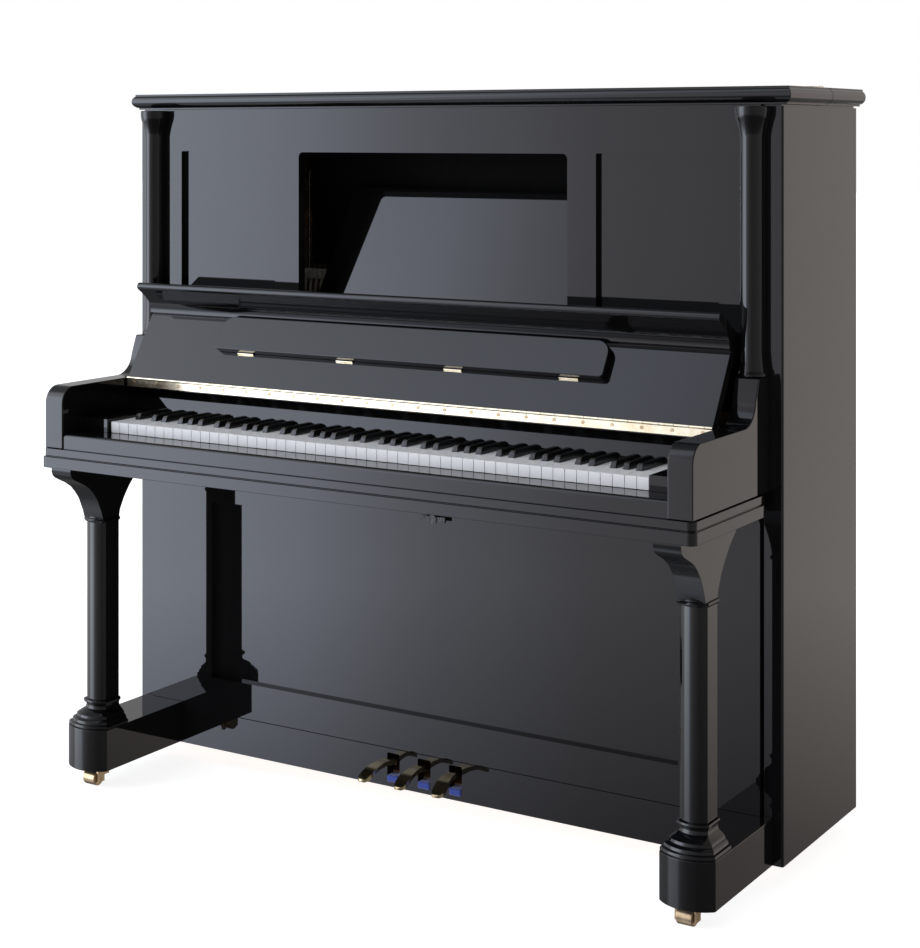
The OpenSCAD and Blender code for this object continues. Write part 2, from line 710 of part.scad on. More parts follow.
module action_frame() {
  color("#7d6a4a") difference() {
    union() {
      for (x = [-640, -215, 215, 640]) {
        box([x - 6, KEY_B + 4, BED_Z1], [x + 6, KEY_B + 20, HAM_Z - 14]);
        box([x - 3, HAM_Y - 22, HAM_Z - 15], [x + 3, HAM_Y - 13, HAM_Z + 62]);
      }
      box([-646, KEY_B - 30, HAM_Z - 40], [646, KEY_B + 20, HAM_Z - 14]);
      box([-646, HAM_Y - 14, HAM_Z + 46], [646, HAM_Y + 2, HAM_Z + 64]);
      for (s = [-1, 1])
        box([s * 640 - 6, HAM_Y - 10, HAM_Z - 15], [s * 640 + 6, HAM_Y + 10, HAM_Z + 10]);
    }
    rod_x(-650, 650, 3 + FIT, HAM_Y, HAM_Z);
  }
}

module hammers() {
  color("#e6dfce") {
    for (i = [0:87]) {
      x = string_x(i);
      box([x - 4, HAM_Y - 8, HAM_Z - 8], [x + 4, HAM_Y + 10, HAM_Z + 12]);
      translate([x, HAM_Y + 1, HAM_Z + 10]) rotate([-9, 0, 0]) cylinder(r = 2.6, h = 92, $fn = 16);
      along_x(x - 4.4, x + 4.4) polygon([[HAM_Y + 7, HAM_Z + 99], [HAM_Y + 30, HAM_Z + 96],
        [HAM_Y + 44, HAM_Z + 102], [HAM_Y + 47, HAM_Z + 107], [HAM_Y + 44, HAM_Z + 112],
        [HAM_Y + 30, HAM_Z + 118], [HAM_Y + 7, HAM_Z + 113]]);
    }
    rod_x(-649, 649, 3, HAM_Y, HAM_Z);
  }
}

case_side_left();
case_side_right();
bottom_board();
bottom_rail();
lid_front();
lid_rear();
lid_hinge();
upper_frame();
upper_panels();
music_desk();
pilasters();
fallboard();
fallboard_hinge();
music_flap();
flap_hinges();
nameboard();
arm_left();
arm_right();
key_blocks();
key_slip();
key_bed();
leg_left();
leg_right();
toe_left();
toe_right();
caster_fork_fl();
caster_fork_fr();
caster_fork_rl();
caster_fork_rr();
caster_wheel_fl();
caster_wheel_fr();
caster_wheel_rl();
caster_wheel_rr();
lower_frame();
lower_panel();
panel_catch();
pedal_left();
pedal_middle();
pedal_right();
pedal_felts();
key_frame();
white_keys_bass();
white_keys_treble();
black_keys_bass();
black_keys_treble();
key_c();
key_c_sharp();
key_d();
key_d_sharp();
key_e();
iron_plate();
strings();
tuning_pins();
soundboard();
back_frame();
action_frame();
inner_board();
hammers();
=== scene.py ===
"""Upright piano in black gloss lacquer: finishes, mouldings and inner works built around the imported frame."""

import json
import logging
import math
from dataclasses import dataclass
from enum import Enum
from typing import Sequence

import bmesh
import bpy
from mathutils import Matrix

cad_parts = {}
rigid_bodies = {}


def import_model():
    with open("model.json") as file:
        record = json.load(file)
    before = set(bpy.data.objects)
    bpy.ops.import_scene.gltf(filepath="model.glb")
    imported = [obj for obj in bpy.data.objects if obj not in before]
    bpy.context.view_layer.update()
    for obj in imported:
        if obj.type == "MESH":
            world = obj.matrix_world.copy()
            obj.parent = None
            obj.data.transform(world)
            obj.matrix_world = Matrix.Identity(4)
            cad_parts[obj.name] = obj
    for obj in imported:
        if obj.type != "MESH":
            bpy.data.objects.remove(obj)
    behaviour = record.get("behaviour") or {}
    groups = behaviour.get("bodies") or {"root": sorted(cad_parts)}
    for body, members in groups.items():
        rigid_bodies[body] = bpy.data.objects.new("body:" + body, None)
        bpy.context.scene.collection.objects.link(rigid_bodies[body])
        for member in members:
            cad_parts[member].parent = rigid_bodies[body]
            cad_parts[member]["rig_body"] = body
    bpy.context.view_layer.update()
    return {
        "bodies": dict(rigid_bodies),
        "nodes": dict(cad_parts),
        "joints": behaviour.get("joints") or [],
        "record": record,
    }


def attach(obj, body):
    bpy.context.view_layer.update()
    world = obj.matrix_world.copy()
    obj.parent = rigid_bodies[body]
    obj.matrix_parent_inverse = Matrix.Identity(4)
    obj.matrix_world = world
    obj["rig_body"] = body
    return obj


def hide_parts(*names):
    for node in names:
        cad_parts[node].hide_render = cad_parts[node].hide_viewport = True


LOG = logging.getLogger("piano")
MM = 0.001
Point3 = tuple[float, float, float]


# ---------------------------------------------------------------- shader helpers
class Tree:
    """A node tree with short ways to add, set and join nodes."""

    def __init__(self, tree: bpy.types.NodeTree) -> None:
        """Keep the tree and clear it.

        Args:
            tree: the node tree to fill.
        """
        self.tree = tree
        self.tree.nodes.clear()

    def add(self, kind: str, **values: object) -> bpy.types.Node:
        """Add a node and set its properties.

        Args:
            kind: the node's type name.
            values: properties of the node.

        Returns:
            The new node.
        """
        node = self.tree.nodes.new(kind)
        for name, value in values.items():
            setattr(node, name, value)
        return node

    def put(self, node: bpy.types.Node, **values: object) -> bpy.types.Node:
        """Set input sockets by name, with underscores for spaces, and return the node."""
        for name, value in values.items():
            node.inputs[name.replace("_", " ")].default_value = value
        return node

    def join(self, source: bpy.types.NodeSocket, target: bpy.types.NodeSocket) -> None:
        """Link an output to an input."""
        self.tree.links.new(source, target)

    def math(self, operation: str, a: object, b: object = None, c: object = None) -> bpy.types.NodeSocket:
        """Add a Math node.

        Args:
            operation: the Math node's operation.
            a: first input, a socket or a number.
            b: second input, if any.
            c: third input, if any.

        Returns:
            The node's output socket.
        """
        node = self.add("ShaderNodeMath", operation=operation)
        for index, value in enumerate((a, b, c)):
            if value is None:
                continue
            if isinstance(value, bpy.types.NodeSocket):
                self.join(value, node.inputs[index])
            else:
                node.inputs[index].default_value = value
        return node.outputs[0]

    def ramp(self, factor: bpy.types.NodeSocket,
        stops: Sequence[tuple[float, Sequence[float]]]) -> bpy.types.NodeSocket:
        """Add a colour ramp.

        Args:
            factor: the ramp's input.
            stops: positions and colours, low to high.

        Returns:
            The ramp's colour output.
        """
        node = self.add("ShaderNodeValToRGB")
        elements = node.color_ramp.elements
        while len(elements) < len(stops):
            elements.new(0.5)
        for element, (position, colour) in zip(elements, stops):
            element.position = position
            element.color = (*colour[:3], 1.0)
        self.join(factor, node.inputs["Fac"])
        return node.outputs["Color"]


def new_group(name: str, inputs: Sequence[tuple[str, str, float]],
    outputs: Sequence[tuple[str, str]]) -> Tree:
    """Make an empty shader node group with named sockets.

    Args:
        name: the group's name.
        inputs: (name, socket type, default) of each input.
        outputs: (name, socket type) of each output.

    Returns:
        The group's tree, with its input and output nodes added as .source and .sink.
    """
    group = bpy.data.node_groups.new(name, "ShaderNodeTree")
    for label, kind, value in inputs:
        socket = group.interface.new_socket(name=label, in_out="INPUT", socket_type=kind)
        if value is not None:
            socket.default_value = value
    for label, kind in outputs:
        group.interface.new_socket(name=label, in_out="OUTPUT", socket_type=kind)
    tree = Tree(group)
    tree.source = tree.add("NodeGroupInput")
    tree.sink = tree.add("NodeGroupOutput")
    return tree


def build_polish_group() -> bpy.types.NodeTree:
    """Build the group that varies gloss and gives a faint ripple.

    Returns:
        The node group, with outputs Roughness and Height.
    """
    g = new_group(
        "Polish variation",
        [("Scale", "NodeSocketFloat", 6.0), ("Low", "NodeSocketFloat", 0.02),
            ("High", "NodeSocketFloat", 0.05)],
        [("Roughness", "NodeSocketFloat"), ("Height", "NodeSocketFloat")],
    )
    place = g.add("ShaderNodeTexCoord")
    broad = g.put(g.add("ShaderNodeTexNoise"), Detail=3.0, Roughness=0.6)
    g.join(place.outputs["Object"], broad.inputs["Vector"])
    g.join(g.source.outputs["Scale"], broad.inputs["Scale"])
    spread = g.math("SUBTRACT", g.source.outputs["High"], g.source.outputs["Low"])
    g.join(g.math("MULTIPLY_ADD", broad.outputs["Fac"], spread, g.source.outputs["Low"]),
        g.sink.inputs["Roughness"])
    g.join(broad.outputs["Fac"], g.sink.inputs["Height"])
    return g.tree


def build_grain_group() -> bpy.types.NodeTree:
    """Build the group for wood grain that runs along Z or X.

    Returns:
        The node group, with outputs Grain and Pores.
    """
    g = new_group(
        "Wood grain",
        [("Rings", "NodeSocketFloat", 60.0), ("Stretch", "NodeSocketVector", (1.0, 1.0, 0.06)),
            ("Wander", "NodeSocketFloat", 3.0)],
        [("Grain", "NodeSocketFloat"), ("Pores", "NodeSocketFloat")],
    )
    place = g.add("ShaderNodeTexCoord")
    scaled = g.add("ShaderNodeVectorMath", operation="MULTIPLY")
    g.join(place.outputs["Object"], scaled.inputs[0])
    g.join(g.source.outputs["Stretch"], scaled.inputs[1])
    wave = g.put(g.add("ShaderNodeTexWave", bands_direction="X", wave_profile="SAW"), Detail=3.0,
        Detail_Scale=1.5)
    g.join(scaled.outputs[0], wave.inputs["Vector"])
    g.join(g.source.outputs["Rings"], wave.inputs["Scale"])
    g.join(g.source.outputs["Wander"], wave.inputs["Distortion"])
    pores = g.put(g.add("ShaderNodeTexNoise"), Scale=420.0, Detail=4.0, Roughness=0.7)
    g.join(scaled.outputs[0], pores.inputs["Vector"])
    g.join(wave.outputs["Fac"], g.sink.inputs["Grain"])
    g.join(pores.outputs["Fac"], g.sink.inputs["Pores"])
    return g.tree


def build_fibre_group() -> bpy.types.NodeTree:
    """Build the group for felt fibres.

    Returns:
        The node group, with outputs Fibre and Height.
    """
    g = new_group("Felt fibre", [("Scale", "NodeSocketFloat", 900.0)], [("Fibre", "NodeSocketFloat"),
        ("Height", "NodeSocketFloat")])
    place = g.add("ShaderNodeTexCoord")
    fine = g.put(g.add("ShaderNodeTexNoise"), Detail=6.0, Roughness=0.75, Distortion=1.2)
    g.join(place.outputs["Object"], fine.inputs["Vector"])
    g.join(g.source.outputs["Scale"], fine.inputs["Scale"])
    g.join(fine.outputs["Fac"], g.sink.inputs["Fibre"])
    g.join(fine.outputs["Fac"], g.sink.inputs["Height"])
    return g.tree


def build_tarnish_group() -> bpy.types.NodeTree:
    """Build the group for handled brass: soft blotches and fine scratches.

    Returns:
        The node group, with outputs Blotch, Scratch and Roughness.
    """
    g = new_group(
        "Handled brass",
        [("Low", "NodeSocketFloat", 0.12), ("High", "NodeSocketFloat", 0.35)],
        [("Blotch", "NodeSocketFloat"), ("Scratch", "NodeSocketFloat"), ("Roughness", "NodeSocketFloat")],
    )
    place = g.add("ShaderNodeTexCoord")
    blotch = g.put(g.add("ShaderNodeTexNoise"), Scale=38.0, Detail=5.0, Roughness=0.65)
    g.join(place.outputs["Object"], blotch.inputs["Vector"])
    drawn = g.add("ShaderNodeVectorMath", operation="MULTIPLY")
    drawn.inputs[1].default_value = (0.12, 1.0, 1.0)
    g.join(place.outputs["Object"], drawn.inputs[0])
    scratch = g.put(g.add("ShaderNodeTexNoise"), Scale=700.0, Detail=2.0)
    g.join(drawn.outputs[0], scratch.inputs["Vector"])
    spread = g.math("SUBTRACT", g.source.outputs["High"], g.source.outputs["Low"])
    g.join(g.math("MULTIPLY_ADD", blotch.outputs["Fac"], spread, g.source.outputs["Low"]),
        g.sink.inputs["Roughness"])
    g.join(blotch.outputs["Fac"], g.sink.inputs["Blotch"])
    g.join(scratch.outputs["Fac"], g.sink.inputs["Scratch"])
    return g.tree


# ---------------------------------------------------------------- finishes
class Finish(Enum):
    """The finishes of the piano, by the record's slot names."""

    LACQUER = "lacquer"
    HINGE_BRASS = "hinge_brass"
    PEDAL_BRASS = "pedal_brass"
    CASTER_BRASS = "caster_brass"
    CATCH_BLACK = "catch_black"
    FELT_BLUE = "felt_blue"
    KEY_WHITE = "key_white"
    KEY_BLACK = "key_black"
    SPRUCE = "spruce"
    BEECH = "beech"
    PLATE_GOLD = "plate_gold"
    STEEL = "steel"
    HAMMER_FELT = "hammer_felt"
    # Painted shade: near-black for the inner board, a dark sheet set inside the case where there is only
    # shadow.
    PAINTED_SHADE_BLACK = "inner_black"


@dataclass(frozen=True)
class Gloss:
    """A smooth coloured finish with a slight ripple."""

    name: str
    colour: Point3
    low: float
    high: float
    ripple: float
    scale: float = 6.0
    coat: float = 0.0
    ior: float = 1.5


@dataclass(frozen=True)
class Metal:
    """A bare metal finish."""

    name: str
    bright: Point3
    dull: Point3
    low: float
    high: float
    scratch: float


@dataclass(frozen=True)
class Timber:
    """Bare wood with grain."""

    name: str
    light: Point3
    dark: Point3
    rings: float
    stretch: Point3


@dataclass(frozen=True)
class Felt:
    """Pressed or woven felt."""

    name: str
    light: Point3
    dark: Point3
    sheen: float


class Finishes:
    """Makes each material once and hands it out."""

    def __init__(self) -> None:
        """Build the shared node groups and every material."""
        self.polish = build_polish_group()
        self.grain = build_grain_group()
        self.fibre = build_fibre_group()
        self.tarnish = build_tarnish_group()
        self.made: dict[Finish, bpy.types.Material] = {
            Finish.LACQUER: self.gloss(Gloss("Black lacquer", (0.0035, 0.0035, 0.0038), 0.012, 0.035,
                0.0006, 3.0)),
            # The inner board's near-black, rough, low-reflection finish is painted shade: it darkens the case's
            # interior, which in truth lies in shadow.
            Finish.PAINTED_SHADE_BLACK: self.gloss(Gloss("Inner painted shade black", (0.003, 0.003, 0.003), 0.7, 0.9,
                0.01, 60.0, 0.0, 1.2)),
            Finish.CATCH_BLACK: self.gloss(Gloss("Black enamel", (0.012, 0.012, 0.012), 0.12, 0.25,
                0.01, 60.0)),
            Finish.KEY_WHITE: self.gloss(Gloss("White key covering", (0.80, 0.80, 0.785), 0.14, 0.24,
                0.003, 40.0)),
            Finish.KEY_BLACK: self.gloss(Gloss("Black key covering", (0.008, 0.008, 0.008), 0.16, 0.28,
                0.004, 50.0)),
            Finish.HINGE_BRASS: self.metal(Metal("Hinge brass", (0.95, 0.86, 0.66), (0.86, 0.74, 0.50),
                0.16, 0.32, 0.02)),
            Finish.PEDAL_BRASS: self.metal(Metal("Pedal brass", (0.84, 0.70, 0.45), (0.62, 0.48, 0.27),
                0.08, 0.26, 0.02)),
            Finish.CASTER_BRASS: self.metal(Metal("Caster brass", (0.68, 0.52, 0.33),
                (0.42, 0.30, 0.17), 0.18, 0.42, 0.05)),
            Finish.PLATE_GOLD: self.metal(Metal("Bronzed iron", (0.50, 0.36, 0.15), (0.36, 0.25, 0.10),
                0.34, 0.5, 0.08)),
            Finish.STEEL: self.metal(Metal("String steel", (0.62, 0.62, 0.63), (0.45, 0.44, 0.43), 0.18,
                0.35, 0.02)),
            Finish.SPRUCE: self.timber(Timber("Spruce", (0.60, 0.40, 0.20), (0.42, 0.25, 0.11), 70.0,
                (1.0, 1.0, 0.05))),
            Finish.BEECH: self.timber(Timber("Beech", (0.42, 0.26, 0.14), (0.28, 0.16, 0.08), 26.0,
                (1.0, 1.0, 0.08))),
            Finish.FELT_BLUE: self.felt(Felt("Blue felt", (0.015, 0.05, 0.32), (0.006, 0.02, 0.16), 0.5)),
            Finish.HAMMER_FELT: self.felt(Felt("Hammer felt", (0.72, 0.68, 0.58), (0.52, 0.47, 0.38), 0.3)),
        }

    def of(self, finish: Finish) -> bpy.types.Material:
        """Return the material of a finish."""
        return self.made[finish]

    def start(self, name: str) -> tuple[Tree, bpy.types.Node, bpy.types.Material]:
        """Begin a material.

        Args:
            name: the material's name.

        Returns:
            Its tree, its Principled node and the material.
        """
        material = bpy.data.materials.new(name)
        material.use_nodes = True
        tree = Tree(material.node_tree)
        shader = tree.add("ShaderNodeBsdfPrincipled")
        out = tree.add("ShaderNodeOutputMaterial")
        tree.join(shader.outputs[0], out.inputs["Surface"])
        return tree, shader, material

    def bump(self, tree: Tree, shader: bpy.types.Node, height: bpy.types.NodeSocket, depth: float) -> None:
        """Join a height to the shader's normal through a bump.

        Args:
            tree: the material's tree.
            shader: its Principled node.
            height: the height socket.
            depth: how deep the bump is, in metres.
        """
        node = tree.put(tree.add("ShaderNodeBump"), Strength=1.0, Distance=depth)
        tree.join(height, node.inputs["Height"])
        tree.join(node.outputs["Normal"], shader.inputs["Normal"])

    def gloss(self, spec: Gloss) -> bpy.types.Material:
        """Make a gloss material from its spec."""
        tree, shader, material = self.start(spec.name)
        tree.put(shader, Base_Color=(*spec.colour, 1.0), IOR=spec.ior, Coat_Weight=spec.coat)
        group = tree.add("ShaderNodeGroup", node_tree=self.polish)
        tree.put(group, Scale=spec.scale, Low=spec.low, High=spec.high)
        tree.join(group.outputs["Roughness"], shader.inputs["Roughness"])
        self.bump(tree, shader, group.outputs["Height"], spec.ripple * 0.1)
        return material

    def metal(self, spec: Metal) -> bpy.types.Material:
        """Make a metal material from its spec."""
        tree, shader, material = self.start(spec.name)
        tree.put(shader, Metallic=1.0)
        group = tree.add("ShaderNodeGroup", node_tree=self.tarnish)
        tree.put(group, Low=spec.low, High=spec.high)
        colour = tree.ramp(group.outputs["Blotch"], [(0.35, spec.dull), (0.62, spec.bright)])
        tree.join(colour, shader.inputs["Base Color"])
        tree.join(group.outputs["Roughness"], shader.inputs["Roughness"])
        self.bump(tree, shader, group.outputs["Scratch"], spec.scratch * 0.001)
        return material

    def timber(self, spec: Timber) -> bpy.types.Material:
        """Make a bare wood material from its spec."""
        tree, shader, material = self.start(spec.name)
        group = tree.add("ShaderNodeGroup", node_tree=self.grain)
        tree.put(group, Rings=spec.rings, Stretch=spec.stretch)
        mixed = tree.math("MULTIPLY_ADD", group.outputs["Pores"], 0.45,
            tree.math("MULTIPLY", group.outputs["Grain"], 0.55))
        colour = tree.ramp(mixed, [(0.2, spec.light), (0.75, spec.dark)])
        tree.join(colour, shader.inputs["Base Color"])
        tree.put(shader, Roughness=0.48)
        self.bump(tree, shader, group.outputs["Pores"], 0.0001)
        return material

    def felt(self, spec: Felt) -> bpy.types.Material:
        """Make a felt material from its spec."""
        tree, shader, material = self.start(spec.name)
        group = tree.put(tree.add("ShaderNodeGroup", node_tree=self.fibre), Scale=900.0)
        colour = tree.ramp(group.outputs["Fibre"], [(0.3, spec.dark), (0.7, spec.light)])
        tree.join(colour, shader.inputs["Base Color"])
        tree.put(shader, Roughness=0.95, Sheen_Weight=spec.sheen)
        self.bump(tree, shader, group.outputs["Height"], 0.0004)
        return material


# ---------------------------------------------------------------- mesh helpers
def mesh_object(name: str, mesh: bpy.types.Mesh, material: bpy.types.Material) -> bpy.types.Object:
    """Put a mesh in the scene as an object at the origin.

    Args:
        name: the object's name.
        mesh: its mesh.
        material: its material.

    Returns:
        The new object.
    """
    mesh.materials.clear()
    mesh.materials.append(material)
    piece = bpy.data.objects.new(name, mesh)
    bpy.context.scene.collection.objects.link(piece)
    return piece


def bake(piece: bpy.types.Object) -> bpy.types.Object:
    """Apply every modifier of a piece and return it."""
    graph = bpy.context.evaluated_depsgraph_get()
    graph.update()
    mesh = bpy.data.meshes.new_from_object(piece.evaluated_get(graph))
    piece.modifiers.clear()
    piece.data = mesh
    return piece


def smooth_by_angle(mesh: bpy.types.Mesh, degrees: float) -> None:
    """Shade a mesh smooth and keep its sharp edges.

    Args:
        mesh: the mesh.
        degrees: edges that turn more than this stay sharp.
    """
    work = bmesh.new()
    work.from_mesh(mesh)
    limit = math.radians(degrees)
    for face in work.faces:
        face.smooth = True
    for edge in work.edges:
        edge.smooth = len(edge.link_faces) == 2 and edge.calc_face_angle(0.0) < limit
    work.to_mesh(mesh)
    work.free()


def settle_normals(piece: bpy.types.Object, degrees: float) -> bpy.types.Object:
    """Shade a piece smooth with its large flat faces kept flat.

    Args:
        piece: the object.
        degrees: edges that turn more than this stay sharp.

    Returns:
        The same object, its normals weighted by face area.
    """
    smooth_by_angle(piece.data, degrees)
    modifier = piece.modifiers.new("normals", "WEIGHTED_NORMAL")
    modifier.mode = "FACE_AREA"
    modifier.weight = 100
    modifier.keep_sharp = True
    return bake(piece)


def bevel_piece(piece: bpy.types.Object, width: float, segments: int = 3,
    angle: float = 32.0) -> bpy.types.Object:
    """Round a piece's sharp edges.

    Args:
        piece: the object.
        width: the bevel's width in millimetres.
        segments: the bevel's segments.
        angle: edges that turn more than this many degrees are rounded.

    Returns:
        The same object, with the bevel in its mesh.
    """
    modifier = piece.modifiers.new("edge", "BEVEL")
    modifier.width = width * MM
    modifier.segments = segments
    modifier.limit_method = "ANGLE"
    modifier.angle_limit = math.radians(angle)
    modifier.harden_normals = False
    modifier.use_clamp_overlap = True
    modifier.miter_outer = "MITER_ARC"
    bake(piece)
    settle_normals(piece, 40.0)
    return piece


def welded_copy(node: bpy.types.Object) -> bpy.types.Mesh:
    """Copy a frame node's mesh with its triangles welded and its flat faces made whole.

    Args:
        node: the frame's object.

    Returns:
        A new mesh.
    """
    work = bmesh.new()
    work.from_mesh(node.data)
    bmesh.ops.remove_doubles(work, verts=work.verts, dist=2e-6)
    bmesh.ops.dissolve_degenerate(work, edges=work.edges, dist=1e-6)
    bmesh.ops.dissolve_limit(work, angle_limit=math.radians(0.6), verts=work.verts, edges=work.edges)
    mesh = bpy.data.meshes.new(node.name + "_welded")
    work.to_mesh(mesh)
    work.free()
    return mesh


class Workshop:
    """Carries the frame, the finishes and the ways to hang pieces on the frame."""

    def __init__(self, frame: dict, finishes: Finishes) -> None:
        """Keep the frame and the finishes.

        Args:
            finishes: the piano's materials.
        """
        self.frame = frame
        self.finishes = finishes
        self.nodes: dict[str, bpy.types.Object] = frame["nodes"]

    def hang(self, piece: bpy.types.Object, body: str, finish: Finish, *nodes: str) -> bpy.types.Object:
        """Ride a piece on a body and let it stand for frame nodes.

        Args:
            piece: the piece.
            body: the body it moves with.
            finish: not used.
            nodes: the nodes it replaces.

        Returns:
            The piece.
        """
        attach(piece, body)
        if nodes:
            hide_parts(*nodes)
        LOG.info("%s: %d faces on %s", piece.name, len(piece.data.polygons), body)
        return piece

    def refine(self, node: str, finish: Finish, width: float, segments: int = 3,
        angle: float = 32.0) -> bpy.types.Object:
        """Replace a node with the same solid, its edges softened.

        Args:
            node: the node's name.
            finish: its finish.
            width: the bevel width in millimetres, or 0 for none.
            segments: the bevel's segments.
            angle: edges over this many degrees are softened.

        Returns:
            The piece.
        """
        source = self.nodes[node]
        piece = mesh_object(node + "_finished", welded_copy(source), self.finishes.of(finish))
        if width > 0:
            bevel_piece(piece, width, segments, angle)
        else:
            settle_normals(piece, 35.0)
        return self.hang(piece, source["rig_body"], finish, node)


# ---------------------------------------------------------------- the piano's parts
@dataclass(frozen=True)
class Softening:
    """How one group of nodes is softened."""

    finish: Finish
    width: float
    nodes: tuple[str, ...]
    segments: int = 3


SOFTENINGS: tuple[Softening, ...] = (
    Softening(Finish.LACQUER, 1.6, ("case_side_left", "case_side_right", "bottom_rail", "upper_frame",
        "lower_frame")),
    Softening(Finish.LACQUER, 1.2, ("upper_panels", "lower_panel", "key_slip", "key_blocks", "nameboard")),
    Softening(Finish.LACQUER, 1.8, ("lid_front", "lid_rear", "music_desk", "fallboard", "music_flap")),
    Softening(Finish.LACQUER, 2.0, ("arm_left", "arm_right", "pilasters")),
    Softening(Finish.LACQUER, 7.0, ("key_bed",), 6),
    Softening(Finish.LACQUER, 1.4, ("leg_left", "leg_right", "toe_left", "toe_right")),
    Softening(Finish.HINGE_BRASS, 0.25, ("lid_hinge", "flap_hinges", "fallboard_hinge"), 2),
    Softening(Finish.PEDAL_BRASS, 1.5, ("pedal_left", "pedal_middle", "pedal_right")),
    Softening(Finish.CASTER_BRASS, 0.6, ("caster_fork_fl", "caster_fork_fr", "caster_fork_rl",
        "caster_fork_rr")),
    Softening(Finish.CASTER_BRASS, 1.5, ("caster_wheel_fl", "caster_wheel_fr", "caster_wheel_rl",
        "caster_wheel_rr")),
    Softening(Finish.CATCH_BLACK, 1.2, ("panel_catch",)),
    Softening(Finish.FELT_BLUE, 2.0, ("pedal_felts",)),
    # The inner board is a dark sheet set where the interior is only in shade: painted shade.
    Softening(Finish.PAINTED_SHADE_BLACK, 1.0, ("inner_board",)),
    Softening(Finish.KEY_WHITE, 0.7, ("white_keys_bass", "white_keys_treble", "key_c", "key_d", "key_e"), 2),
    Softening(Finish.KEY_BLACK, 1.0, ("black_keys_bass", "black_keys_treble", "key_c_sharp",
        "key_d_sharp"), 2),
    Softening(Finish.SPRUCE, 1.0, ("soundboard",), 2),
    Softening(Finish.BEECH, 1.5, ("back_frame", "bottom_board", "key_frame", "action_frame"), 2),
    Softening(Finish.PLATE_GOLD, 3.0, ("iron_plate",), 3),
    Softening(Finish.STEEL, 0.0, ("strings", "tuning_pins")),
    Softening(Finish.HAMMER_FELT, 0.0, ("hammers",)),
)


@dataclass(frozen=True)
class Row:
    """A straight row of short cylinders, in millimetres."""

    name: str
    start: Point3
    step: float
    count: int
    radius: float
    length: float
    along: str
    finish: Finish
    body: str


ROWS: tuple[Row, ...] = (
    Row("hinge_screws", (-655.4, -152.55, 824.5), 59.6, 23, 3.3, 0.5, "Y", Finish.CASTER_BRASS, "piano_case"),
    Row("hinge_knuckles", (-660.0, -151.0, 833.5), 30.0, 45, 3.12, 0.8, "X", Finish.CATCH_BLACK,
        "piano_case"),
    Row("lid_knuckles", (-730.0, 176.0, 1435.5), 36.5, 41, 3.12, 0.8, "X", Finish.CATCH_BLACK, "piano_case"),
)


def lay_row(shop: Workshop, row: Row) -> bpy.types.Object:
    """Lay out a row with Geometry Nodes and bake it.

    Args:
        shop: the workshop.
        row: what to repeat, and where.

    Returns:
        The baked piece.
    """
    group = bpy.data.node_groups.new(row.name, "GeometryNodeTree")
    group.interface.new_socket("Geometry", in_out="OUTPUT", socket_type="NodeSocketGeometry")
    tree = Tree(group)
    line = tree.add("GeometryNodeMeshLine")
    line.inputs["Count"].default_value = row.count
    line.inputs["Start Location"].default_value = tuple(value * MM for value in row.start)
    line.inputs["Offset"].default_value = (row.step * MM, 0.0, 0.0)
    one = tree.add("GeometryNodeMeshCylinder")
    one.inputs["Vertices"].default_value = 20
    one.inputs["Radius"].default_value = row.radius * MM
    one.inputs["Depth"].default_value = row.length * MM
    spread = tree.add("GeometryNodeInstanceOnPoints")
    quarter = math.radians(90.0)
    spread.inputs["Rotation"].default_value = (quarter, 0.0, 0.0) if row.along == "Y" else (0.0, quarter, 0.0)
    real = tree.add("GeometryNodeRealizeInstances")
    paint = tree.add("GeometryNodeSetMaterial")
    paint.inputs["Material"].default_value = shop.finishes.of(row.finish)
    out = tree.add("NodeGroupOutput")
    tree.join(line.outputs["Mesh"], spread.inputs["Points"])
    tree.join(one.outputs["Mesh"], spread.inputs["Instance"])
    tree.join(spread.outputs["Instances"], real.inputs["Geometry"])
    tree.join(real.outputs["Geometry"], paint.inputs["Geometry"])
    tree.join(paint.outputs["Geometry"], out.inputs[0])
    piece = mesh_object(row.name, bpy.data.meshes.new(row.name), shop.finishes.of(row.finish))
    modifier = piece.modifiers.new("row", "NODES")
    modifier.node_group = group
    bake(piece)
    return shop.hang(piece, row.body, row.finish)


# ---------------------------------------------------------------- studio
# How bright a mirror sees the surround, by elevation in degrees.
FALL_OFF: tuple[tuple[float, float], ...] = (
    (-26, 0.20), (-20, 0.34), (-17, 0.60), (-13, 0.96), (0, 1.0), (20, 1.0), (30, 0.70), (45,
        0.42), (57, 0.32), (90, 0.30),
)


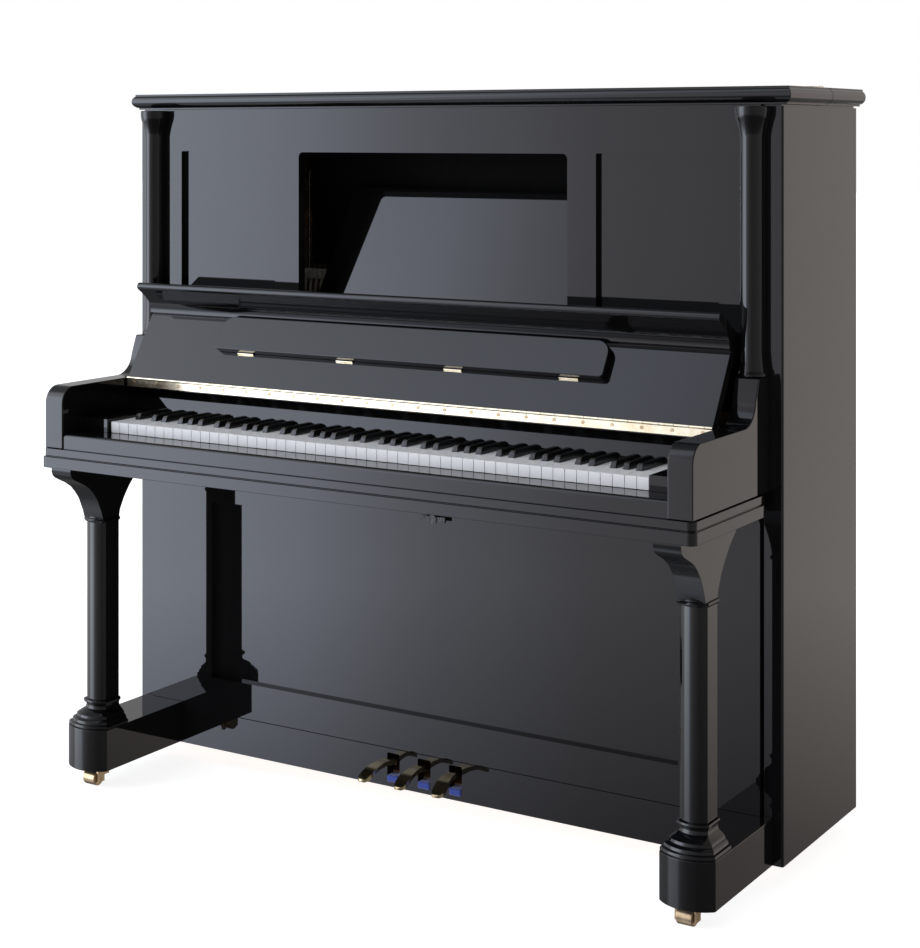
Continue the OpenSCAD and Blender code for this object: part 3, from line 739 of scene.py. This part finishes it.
@dataclass(frozen=True)
class Studio:
    """Camera, floor and soft studio light."""

    camera_place: Point3 = (2.0820, -3.2524, 1.3469)
    camera_turn: float = 31.865
    lens: float = 73.34
    shift: float = -0.3577

    def build(self) -> None:
        """Make the camera, the floor and the light."""
        self.build_camera()
        self.build_floor()
        self.build_light()
        view = bpy.context.scene.view_settings
        view.view_transform = "Standard"
        view.look = "None"

    def build_camera(self) -> None:
        """Make the level camera with a downward shift."""
        data = bpy.data.cameras.new("camera")
        data.lens = self.lens
        data.sensor_width = 36.0
        data.sensor_fit = "AUTO"
        data.shift_y = self.shift
        data.clip_end = 100.0
        camera = bpy.data.objects.new("camera", data)
        camera.location = self.camera_place
        camera.rotation_euler = (math.radians(90.0), 0.0, math.radians(self.camera_turn))
        bpy.context.scene.collection.objects.link(camera)
        bpy.context.scene.camera = camera

    def build_floor(self) -> None:
        """Make the pale floor, which mirror reflections pass through."""
        mesh = bpy.data.meshes.new("floor")
        half = 40.0
        mesh.from_pydata([(-half, -half, 0), (half, -half, 0), (half, half, 0), (-half, half, 0)], [],
            [(0, 1, 2, 3)])
        material = bpy.data.materials.new("Pale floor")
        material.use_nodes = True
        tree = Tree(material.node_tree)
        diffuse = tree.put(tree.add("ShaderNodeBsdfDiffuse"), Color=(0.5, 0.5, 0.5, 1.0))
        glow = tree.put(tree.add("ShaderNodeEmission"), Color=(1, 1, 1, 1), Strength=0.86)
        both = tree.add("ShaderNodeAddShader")
        clear = tree.add("ShaderNodeBsdfTransparent")
        path = tree.add("ShaderNodeLightPath")
        mix = tree.add("ShaderNodeMixShader")
        out = tree.add("ShaderNodeOutputMaterial")
        tree.join(diffuse.outputs[0], both.inputs[0])
        tree.join(glow.outputs[0], both.inputs[1])
        tree.join(path.outputs["Is Glossy Ray"], mix.inputs[0])
        tree.join(both.outputs[0], mix.inputs[1])
        tree.join(clear.outputs[0], mix.inputs[2])
        tree.join(mix.outputs[0], out.inputs["Surface"])
        mesh_object("floor", mesh, material)

    def build_light(self) -> None:
        """Make the studio's soft surround: white behind, a bright wall to the front left, dim elsewhere."""
        world = bpy.data.worlds.new("studio")
        bpy.context.scene.world = world
        world.use_nodes = True
        tree = Tree(world.node_tree)
        place = tree.add("ShaderNodeTexCoord")
        split = tree.add("ShaderNodeSeparateXYZ")
        tree.join(place.outputs["Generated"], split.inputs[0])
        west = tree.math("MULTIPLY", split.outputs["X"], -1.0)
        south = tree.math("MULTIPLY", split.outputs["Y"], -1.0)
        turn = tree.math("DIVIDE", tree.math("ARCTAN2", west, south), 2 * math.pi)
        around = tree.math("ADD", turn, 0.5)
        stops = [
            (-180, (0.14, 0.135, 0.13)), (-172, (0.14, 0.135, 0.13)), (-165,
                (0.196, 0.178, 0.166)), (-140, (0.20, 0.182, 0.17)),
            (-120, (0.10, 0.10, 0.10)), (-20, (0.06, 0.06, 0.062)), (10, (0.13, 0.13, 0.135)),
            (24, (0.235, 0.23, 0.25)), (28, (0.28, 0.28, 0.305)), (33, (0.45, 0.46, 0.53)), (37,
                (0.73, 0.78, 0.92)),
            (41, (0.86, 0.93, 1.09)), (62, (0.92, 0.97, 1.06)), (75, (0.30, 0.31, 0.33)), (120,
                (0.12, 0.12, 0.125)), (180, (0.16, 0.155, 0.15)),
        ]
        colour = tree.ramp(around, [((angle + 180) / 360, value) for angle, value in stops])
        rise = tree.math("MULTIPLY_ADD", split.outputs["Z"], 0.5, 0.5)
        fade = tree.ramp(rise, [((math.sin(math.radians(angle)) + 1) / 2,
            (level, level, level)) for angle, level in FALL_OFF])
        path = tree.add("ShaderNodeLightPath")
        tint = tree.add("ShaderNodeMix", data_type="RGBA", blend_type="MULTIPLY")
        tree.join(path.outputs["Is Glossy Ray"], tint.inputs[0])
        tree.join(colour, tint.inputs[6])
        tree.join(fade, tint.inputs[7])
        surround = tree.put(tree.add("ShaderNodeBackground"), Strength=4.2)
        tree.join(tint.outputs[2], surround.inputs["Color"])
        backdrop = tree.put(tree.add("ShaderNodeBackground"), Color=(1, 1, 1, 1), Strength=1.0)
        mix = tree.add("ShaderNodeMixShader")
        out = tree.add("ShaderNodeOutputWorld")
        tree.join(path.outputs["Is Camera Ray"], mix.inputs[0])
        tree.join(surround.outputs[0], mix.inputs[1])
        tree.join(backdrop.outputs[0], mix.inputs[2])
        tree.join(mix.outputs[0], out.inputs["Surface"])


def main() -> None:
    """Build the piano and its studio."""
    logging.basicConfig(level=logging.INFO, format="%(name)s %(message)s")
    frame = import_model()
    shop = Workshop(frame, Finishes())
    for softening in SOFTENINGS:
        for node in softening.nodes:
            shop.refine(node, softening.finish, softening.width, softening.segments)
    for row in ROWS:
        lay_row(shop, row)
    Studio().build()


if __name__ == "__main__":
    main()
